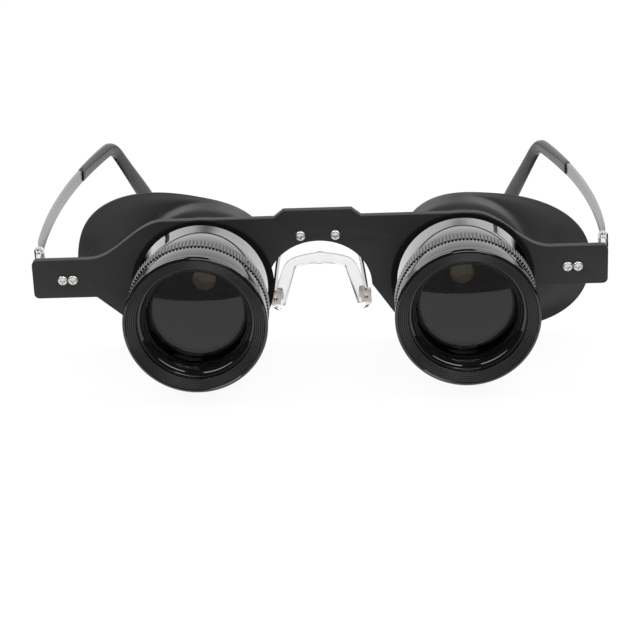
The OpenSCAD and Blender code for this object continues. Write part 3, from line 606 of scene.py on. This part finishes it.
def front_face(side):
    """Satin face of the front ring: fine round ribs that step down towards the opening."""
    width = (FACE_R - FACE_INNER_R) / FACE_RIBS
    outline = [(FACE_R - HAIR, RING_BACK - HAIR)]
    for i in range(FACE_RIBS):
        for share, rise in FACE_RIB_SHAPE:
            depth = mix(FACE_START, FACE_END, (i + share) / FACE_RIBS) - FACE_RIB_H * rise
            outline.append((FACE_R - HAIR - width * (i + share), FACE_Y + FACE_RIB_H + depth))
    outline += [(FACE_INNER_R, FACE_Y + FACE_RIB_H + FACE_END), (FACE_INNER_R, RING_BACK - HAIR)]
    put(lathe(side, outline, FINE_STEPS), f"{side}_front_face", f"{side}_front_ring", smooth_below=50)


def front_bevel(side):
    """Polished step between the ribbed face and the opening."""
    bm = lathe(side, [(FACE_INNER_R - HAIR, FACE_Y + BEVEL_START), (OPENING_R, FACE_Y + BEVEL_END),
                      (OPENING_R, RING_BACK - HAIR), (FACE_INNER_R - HAIR, RING_BACK - HAIR)], FINE_STEPS)
    soften(bm, EDGE / 2)
    put(bm, f"{side}_front_bevel", f"{side}_front_ring", FINISH["gloss_black_plastic"], "gloss_black_plastic")


# Retainer and lenses
RETAINER_RIM = 0.25
RETAINER_SEAT = 0.8
CONE_STEP_IN = 0.3
CONE_STEP = 0.9
CONE_END = 3.4
LENS_RINGS = 16


def lens_bulge(radius):
    """How far the front lens's face lies in front of its edge."""
    dome = LENS_EDGE_Y - DOME_FRONT
    curve = (LENS_R * LENS_R + dome * dome) / (2 * dome)
    return math.sqrt(curve * curve - radius * radius) - (curve - dome)


def retainer_cone(side):
    """Glossy cone that holds the front lens."""
    bm = lathe(side, [
        (OPENING_R, RETAINER_FRONT), (OPENING_R - RETAINER_RIM, RETAINER_FRONT),
        (LENS_R - CONE_STEP_IN, RETAINER_FRONT + CONE_STEP), (VIEW_R, RETAINER_FRONT + CONE_END),
        (VIEW_R, LENS_EDGE_Y - lens_bulge(VIEW_R) - FIT), (LENS_R, LENS_EDGE_Y - FIT),
        (LENS_R, RETAINER_FRONT + RETAINER_SEAT), (OPENING_R, RETAINER_FRONT + RETAINER_SEAT)], FINE_STEPS)
    soften(bm, EDGE / 2)
    put(bm, f"{side}_retainer_cone", f"{side}_lens_retainer")


def front_glass(side):
    """Front lens: a domed face over a back of the same curve, spun from half its section."""
    radii = [LENS_R * i / LENS_RINGS for i in range(LENS_RINGS + 1)]
    face = [(radius, LENS_EDGE_Y - lens_bulge(radius)) for radius in radii]
    back = [(radius, LENS_BACK - lens_bulge(radius)) for radius in radii]
    bm = lathe(side, face + back[::-1], FINE_STEPS)
    put(bm, f"{side}_front_glass", f"{side}_front_lens", smooth_below=30)


EYE_LENS_MID = 1.0
EYE_CURVE_R = 24


def eye_glass(side):
    """Eye lens: flat in front and hollow behind."""
    centre_y = EYE_FRONT + EYE_LENS_MID + EYE_CURVE_R
    half = math.degrees(math.acos((centre_y - EYE_BACK) / EYE_CURVE_R))
    hollow = arc((0, centre_y), EYE_CURVE_R, half - 90, -90, LENS_RINGS)
    bm = lathe(side, [(0, EYE_FRONT), (EYE_R - HAIR, EYE_FRONT), (EYE_R - HAIR, EYE_BACK)] + hollow)
    put(bm, f"{side}_eye_glass", f"{side}_eye_lens", smooth_below=30)


# Rubber cup: the rim is two half ovals about the telescope's axis, with the wing on the temple side
CLAMP_R, CLAMP_BACK = turned_size("left_clamp_ring")[::2]
CUP_FRONT = (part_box("left_eye_cup")[0].y - PLATE_LOW.y) / MM
CUP_TURN = {"left": -5, "right": 12}
CUP_WALL = 1.3
CUP_NECK_R = CLAMP_R + FIT + CUP_WALL
CUP_LIP_R = 12.2
CUP_LIP_Y = CLAMP_BACK + FIT + CUP_WALL
CUP_LIP_ROUND = 0.2
LIP_FOOT = 0.3
LIP_RISE = 0.9
POCKET_WALL = 0.4
FLARE_Y = CUP_LIP_Y + 0.15
FLARE_ROUND = 0.5
FLARE_TUCK = 0.3
DRUM_R = 17.2
DRUM_Y = FLARE_Y + 0.35
DRUM_ROUND = 0.5
DRUM_CROWN = 0.08
DRUM_FALL = 0.6
DRUM_INNER_IN = 1.0
DRUM_INNER_BACK = 1.05
CREASE_R = 18.5
CREASE_ROOM = 0.5
CREASE_Y = CLAMP_BACK + 3.75
RIM_Y = CLAMP_BACK + 4.6
RIM_ROUND = 0.1
RIM_WALL = 0.6
RIM_FOLD = 0.35
RIM_MID = 5
RIM_RISE = 0.5
RIM_HALF_H = 18.8
WING_REACH = 33.7
WING_SWEEP = 1.1
WING_BULGE = 1.1
WING_START = 12
NOSE_REACH = 16.5
WING_POWER = 2.3
NOSE_POWER = 2.65
CUP_SIDES = 120
RING_STEP = 0.03
WING_SHARES = (0.12, 0.3, 0.45, 0.6, 0.75, 0.88)
WALL_IN = (1.0, 0.15)
WALL_BACK = (0.3, 1.0)


def rim_point(angle):
    """The rim seen from the front, with the wing to +X."""
    across, high = math.cos(angle), math.sin(angle)
    power = 2 / (WING_POWER if across > 0 else NOSE_POWER)
    reach = WING_REACH - RIM_MID if across > 0 else NOSE_REACH + RIM_MID
    return Vector((RIM_MID + reach * math.copysign(abs(across) ** power, across),
                   RIM_RISE + RIM_HALF_H * math.copysign(abs(high) ** power, high)))


def cup_section(rim):
    """Radius and depth round the wall on one ray: outside from the neck to the rim, then back inside."""
    reach = rim.length
    crease = min(CREASE_R, reach - CREASE_ROOM)
    edge = max(CUP_NECK_R, min(DRUM_R, reach - CUP_WALL))
    tip = RIM_Y + WING_SWEEP * max(0, rim.x - RIM_MID) / WING_REACH
    spread = min(1, (reach - crease) / WING_START)
    outer = [(CUP_NECK_R, CUP_FRONT), (CUP_NECK_R, FLARE_Y - FLARE_ROUND), (CUP_NECK_R - FLARE_TUCK, FLARE_Y),
             (edge - DRUM_ROUND, DRUM_Y - DRUM_CROWN), (edge, DRUM_Y + DRUM_ROUND / 2),
             (mix(edge, crease, 0.5), mix(DRUM_Y, CREASE_Y, DRUM_FALL)), (crease, CREASE_Y)]
    crease_at = len(outer) - 1
    for share in WING_SHARES:
        bulge = WING_BULGE * spread * math.sin(math.pi * share)
        outer.append((mix(crease, reach, share), mix(CREASE_Y, tip, share) - bulge))
    inner = [(reach - RIM_WALL, tip + RIM_FOLD * spread)]
    wall_in, wall_back = CUP_WALL * mix(*WALL_IN, spread), CUP_WALL * mix(*WALL_BACK, spread)
    inner += [(radius - wall_in, depth + wall_back) for radius, depth in outer[:crease_at - 1:-1]]
    outer += [(reach - RIM_ROUND, tip - 2 * RIM_ROUND), (reach, tip)]
    pocket_r = CUP_NECK_R - CUP_WALL - POCKET_WALL
    inner += [(edge - DRUM_INNER_IN, DRUM_Y + DRUM_INNER_BACK), (pocket_r, CUP_LIP_Y + LIP_RISE),
              (pocket_r, CUP_LIP_Y + LIP_FOOT), (CUP_LIP_R + CUP_LIP_ROUND, CUP_LIP_Y),
              (CUP_LIP_R, CUP_LIP_Y - CUP_LIP_ROUND), (CUP_LIP_R, CLAMP_BACK + FIT),
              (CLAMP_R + FIT, CLAMP_BACK + FIT - RING_STEP), (CLAMP_R + FIT, CUP_FRONT + RING_STEP)]
    return outer + inner


def rubber_cup(side):
    """Winged eye cup: one closed loft of rings round the telescope."""
    centre = axis_of(side)
    turn = Matrix.Rotation(math.radians(CUP_TURN[side]), 2)
    rims = [rim_point(math.tau * i / CUP_SIDES) for i in range(CUP_SIDES)]
    ways = [turn @ rim.normalized() for rim in rims]
    sections = [cup_section(rim) for rim in rims]

    def placed(way, radius, depth):
        across = SIDES[side] * way.x * radius
        return centre.x + across * MM, PLATE_LOW.y + depth * MM, centre.z + way.y * radius * MM

    rings = [[placed(way, *point) for way, point in zip(ways, ring)] for ring in zip(*sections)]
    subdivided(put(loft(rings, closed=True), f"{side}_rubber_cup", f"{side}_eye_cup"), levels=1)


# Nose saddle: foot, pad and corner of each side, then the band, in the upright plane through its middle
SADDLE_Y = 9.6
PAD_TOP = Vector((8.7, -2.65))
PAD_FOOT = Vector((12.3, -13.2))
PAD_SIZE = Vector((3.7, 6.2))
PAD_NECK = Vector((3.2, 4.2))
BAND_SIZE = Vector((2.75, 3.4))
BAND_SLOPE = 18
PAD_SPLAY = math.radians(14)
PAD_INSET = 0.5
CORNER_R = 3.2
CORNER_STEPS = 8
PAD_STEPS = 8
FOOT_ROUND = 1.5
FOOT_ANGLES = (80, 60, 40, 20)
BAND_SHARES = (0.2, 0.4, 0.6, 0.8, 0.93, 1.0)
BAND_BUMP = 1.3
BUMP_START = 0.8
SADDLE_SIDES = 20


def saddle_stations():
    """Middle and size of the saddle's sections, from the left foot to the middle of the band."""
    rise = (PAD_TOP - PAD_FOOT).normalized()
    out = Vector((rise.y, -rise.x))
    turn = math.radians(180 - BAND_SLOPE) - math.acos(rise.x)
    centre = PAD_TOP - CORNER_R * out
    bend = [centre + CORNER_R * (math.cos(angle) * out + math.sin(angle) * rise)
            for angle in (turn * i / CORNER_STEPS for i in range(CORNER_STEPS + 1))]
    stations = [(PAD_FOOT + FOOT_ROUND * (1 - math.sin(a)) * rise, PAD_SIZE * math.cos(a))
                for a in map(math.radians, FOOT_ANGLES)]
    for share in (i / PAD_STEPS for i in range(PAD_STEPS)):
        middle = mix(PAD_FOOT + FOOT_ROUND * rise, PAD_TOP, share)
        stations.append((middle, mix(PAD_SIZE, PAD_NECK, ease(share))))
    stations += [(point, mix(PAD_NECK, BAND_SIZE, i / CORNER_STEPS)) for i, point in enumerate(bend)]
    corner = bend[-1]
    climb = corner.x * math.tan(math.radians(BAND_SLOPE))
    for share in BAND_SHARES:
        swell = mix(1, BAND_BUMP, ease(max(0, share - BUMP_START) / (1 - BUMP_START)))
        stations.append((corner + Vector((-corner.x * share, climb * (share - share * share / 2))),
                         Vector((BAND_SIZE.x * swell, BAND_SIZE.y))))
    return stations


def saddle():
    """Clear nose saddle: one loft from foot to foot, with the pads turned about their own length."""
    half = saddle_stations()
    stations = half + [(Vector((-middle.x, middle.y)), size) for middle, size in half[-2::-1]]
    rings = []
    for i, (middle, size) in enumerate(stations):
        along = (stations[min(i + 1, len(stations) - 1)][0] - stations[max(i - 1, 0)][0]).normalized()
        out = Vector((along.y, -along.x))
        swing = ease(abs(along.y))
        splay = Matrix.Rotation(-PAD_SPLAY * swing, 2)
        ring = []
        for k in range(SADDLE_SIDES):
            angle = math.tau * k / SADDLE_SIDES
            across, deep = splay @ Vector((size.x / 2 * math.cos(angle), size.y / 2 * math.sin(angle)))
            point = middle + out * (across - PAD_INSET * swing)
            ring.append((point.x * MM, PLATE_LOW.y + (SADDLE_Y + deep) * MM, TAB_MIDDLE_Z + point.y * MM))
        rings.append(ring)
    subdivided(put(loft(rings), "clear_saddle", "nose_saddle"), levels=1)


def smooth_copy(node, name, levels):
    """A CAD loft with its triangles paired and its skin smoothed."""
    bm = copy_of(node)
    bmesh.ops.join_triangles(bm, faces=bm.faces, angle_face_threshold=PAIR_ANGLE,
                             angle_shape_threshold=PAIR_ANGLE)
    subdivided(put(bm, name, node, smooth_below=70), levels)


# How far the edges of the CAD's own pieces are rounded, in millimetres
SIDE_EDGES = {"temple_arm": 0.12, "hinge_bracket": 0.1, "hinge_pin": 0.05, "end_screws": 0.06,
              "pad_box": 0.15, "clamp_ring": 0.2, "slide_washer": 0.08, "eye_lens_ring": 0.08}
MIDDLE_EDGES = {"front_plate": 0.3, "bridge_bracket": 0.12, "bridge_screws": 0.06, "pad_screws": 0.06}

for side in SIDES:
    housing_shell(side)
    seat_flange(side)
    housing_core(side)
    knurled_ring(side)
    focus_sleeve(side)
    bell(side)
    lens_cell(side)
    front_lip(side)
    front_face(side)
    front_bevel(side)
    retainer_cone(side)
    front_glass(side)
    eye_glass(side)
    rubber_cup(side)
    smooth_copy(f"{side}_temple_sleeve", f"{side}_sleeve", levels=2)
    smooth_copy(f"{side}_pad_arm", f"{side}_wire_arm", levels=1)
    for part, width in SIDE_EDGES.items():
        softened_copy(f"{side}_{part}", width)
for node, width in MIDDLE_EDGES.items():
    softened_copy(node, width)
saddle()

# The polished barrels mirror the backdrop, not what stands close behind them
HIDDEN_FROM_GLOSS = ("rubber_cup", "seat_flange", "slide_washer_finished", "clamp_ring_finished")
bpy.data.objects["front_plate_finished"].visible_glossy = False
for side in SIDES:
    for part in HIDDEN_FROM_GLOSS:
        bpy.data.objects[f"{side}_{part}"].visible_glossy = False


# Stage, in metres. Gloss sees a black flag on the floor on each side: it starts FLAG_GAP from the middle
# and behind FLAG_FRONT, and its rear edge runs back as it runs outward.
FLOOR_FRONT = PLATE_LOW.y - 150 * MM
FLOOR_HALF = 1.6
FLOOR_GAP = 0.2 * MM
GLOW_SHARE = 0.93
FLAG_GAP = 36 * MM
FLAG_EDGE = 2 * MM
FLAG_FRONT = PLATE_LOW.y + 2 * MM
FLAG_SLANT = 2.3
FLAG_BACK = 42 * MM - PLATE_LOW.y
CLEAR_BACK = PLATE_LOW.y + 25 * MM
SOFT_EDGE = 20 * MM
CLEAR_DIM = 0.4
PAPER = (0.85, 0.85, 0.85)
ROOM_GLOSS = 0.03
ROOM_DIFFUSE = 0.4
BACKDROP_GLOSS = 1.2
BACKDROP_TURN = (-0.1, 0.15)
BACKDROP_LOW = (0.03, 0.05)
BACKDROP_HIGH = (0.5, 0.62)
CLEAR_SIDE = (0.35, 0.55)
CLEAR_HIGH = (0.1, 0.25)
TOP_BOX_ACROSS = 0.5
TOP_BOX_BEHIND = 0.05
TOP_BOX_HIGH = 0.75
TOP_BOX_AIM = (0, 0, 0)
TOP_BOX_SIZE = (0.6, 0.7)
TOP_BOX_POWER = 6.6
FILL_PLACE = (0.15, -0.9, 0.7)
FILL_AIM = (0, 0, 0.02)
FILL_SIZE = (0.6, 0.5)
FILL_POWER = 3.0


def white_floor():
    """White to the camera and flagged for gloss; glass sees it grey, and white only behind the bridge."""
    bm = bmesh.new()
    bmesh.ops.create_grid(bm, x_segments=1, y_segments=1, size=FLOOR_HALF)
    bmesh.ops.translate(bm, verts=bm.verts, vec=(0, FLOOR_FRONT + FLOOR_HALF, -FLOOR_GAP))
    mesh = bpy.data.meshes.new("floor")
    bm.to_mesh(mesh)
    bm.free()
    floor = bpy.data.objects.new("floor", mesh)
    bpy.context.scene.collection.objects.link(floor)
    paper = bpy.data.materials.new("white paper")
    tree = Tree(paper)
    path = tree.raw("ShaderNodeLightPath", {}, {})
    where = tree.raw("ShaderNodeSeparateXYZ", {}, {0: tree.node("ShaderNodeTexCoord", output="Object")})
    across = Socket(tree, where.outputs["X"]).size()
    behind = Socket(tree, where.outputs["Y"])
    between_flags = 1 - across.between(FLAG_GAP, FLAG_GAP + FLAG_EDGE)
    past_flags = (behind - FLAG_SLANT * across + FLAG_BACK).between(-SOFT_EDGE / 2, SOFT_EDGE / 2)
    in_front = 1 - behind.between(FLAG_FRONT, FLAG_FRONT + FLAG_EDGE)
    near_middle = 1 - across.between(FLAG_GAP, 2 * FLAG_GAP)
    behind_bridge = behind.between(CLEAR_BACK, CLEAR_BACK + SOFT_EDGE) * near_middle
    camera = Socket(tree, path.outputs["Is Camera Ray"])
    through = Socket(tree, path.outputs["Is Transmission Ray"])
    mirrored = through.maximum(Socket(tree, path.outputs["Is Glossy Ray"]))
    clear = CLEAR_DIM + (1 - CLEAR_DIM) * behind_bridge
    white = through * clear + (1 - through) * in_front.maximum(between_flags).maximum(past_flags)
    diffuse = tree.node("ShaderNodeBsdfDiffuse", None, {"Color": PAPER})
    strength = camera + (1 - camera) * white
    glow = tree.node("ShaderNodeEmission", None, {"Color": (1, 1, 1), "Strength": strength})
    share = camera * GLOW_SHARE + (1 - camera) * mirrored
    tree.finish(tree.node("ShaderNodeMixShader", None, {0: share, 1: diffuse, 2: glow}))
    mesh.materials.append(paper)


def studio():
    """White to the camera. Gloss sees a bright backdrop behind in a dark room, and glass sees grey
    but for a white patch low behind."""
    world = bpy.data.worlds.new("studio")
    bpy.context.scene.world = world
    tree = Tree(world)
    path = tree.raw("ShaderNodeLightPath", {}, {})
    camera = Socket(tree, path.outputs["Is Camera Ray"])
    through = Socket(tree, path.outputs["Is Transmission Ray"])
    mirrored = Socket(tree, path.outputs["Is Glossy Ray"]).maximum(through)
    toward = tree.raw("ShaderNodeSeparateXYZ", {}, {0: tree.node("ShaderNodeTexCoord", output="Generated")})
    behind = Socket(tree, toward.outputs["Y"]).between(*BACKDROP_TURN)
    high = Socket(tree, toward.outputs["Z"])
    backdrop = high.between(*BACKDROP_LOW) * (1 - high.between(*BACKDROP_HIGH))
    beside = Socket(tree, toward.outputs["X"]).size().between(*CLEAR_SIDE)
    room = ROOM_GLOSS + BACKDROP_GLOSS * behind * backdrop
    clear = CLEAR_DIM + (1 - CLEAR_DIM) * behind * (1 - beside) * (1 - high.between(*CLEAR_HIGH))
    seen = mirrored * (through * clear + (1 - through) * room)
    strength = camera + (1 - camera) * (seen + (1 - mirrored) * ROOM_DIFFUSE)
    tree.finish(tree.node("ShaderNodeBackground", None, {"Color": (1, 1, 1), "Strength": strength}),
                "ShaderNodeOutputWorld")


def soft_box(name, place, aim, size, power):
    """A rectangular lamp that faces a point."""
    data = bpy.data.lights.new(name, "AREA")
    data.shape = "RECTANGLE"
    data.size, data.size_y = size
    data.energy = power
    lamp = bpy.data.objects.new(name, data)
    bpy.context.scene.collection.objects.link(lamp)
    lamp.location = place
    lamp.rotation_euler = (Vector(aim) - Vector(place)).to_track_quat("-Z", "Y").to_euler()


white_floor()
studio()
for name, side in SIDES.items():
    place = (side * TOP_BOX_ACROSS, TOP_BOX_BEHIND, TOP_BOX_HIGH)
    soft_box(f"{name} top box", place, TOP_BOX_AIM, TOP_BOX_SIZE, TOP_BOX_POWER)
soft_box("front fill", FILL_PLACE, FILL_AIM, FILL_SIZE, FILL_POWER)

bpy.context.scene.view_settings.view_transform = "Standard"
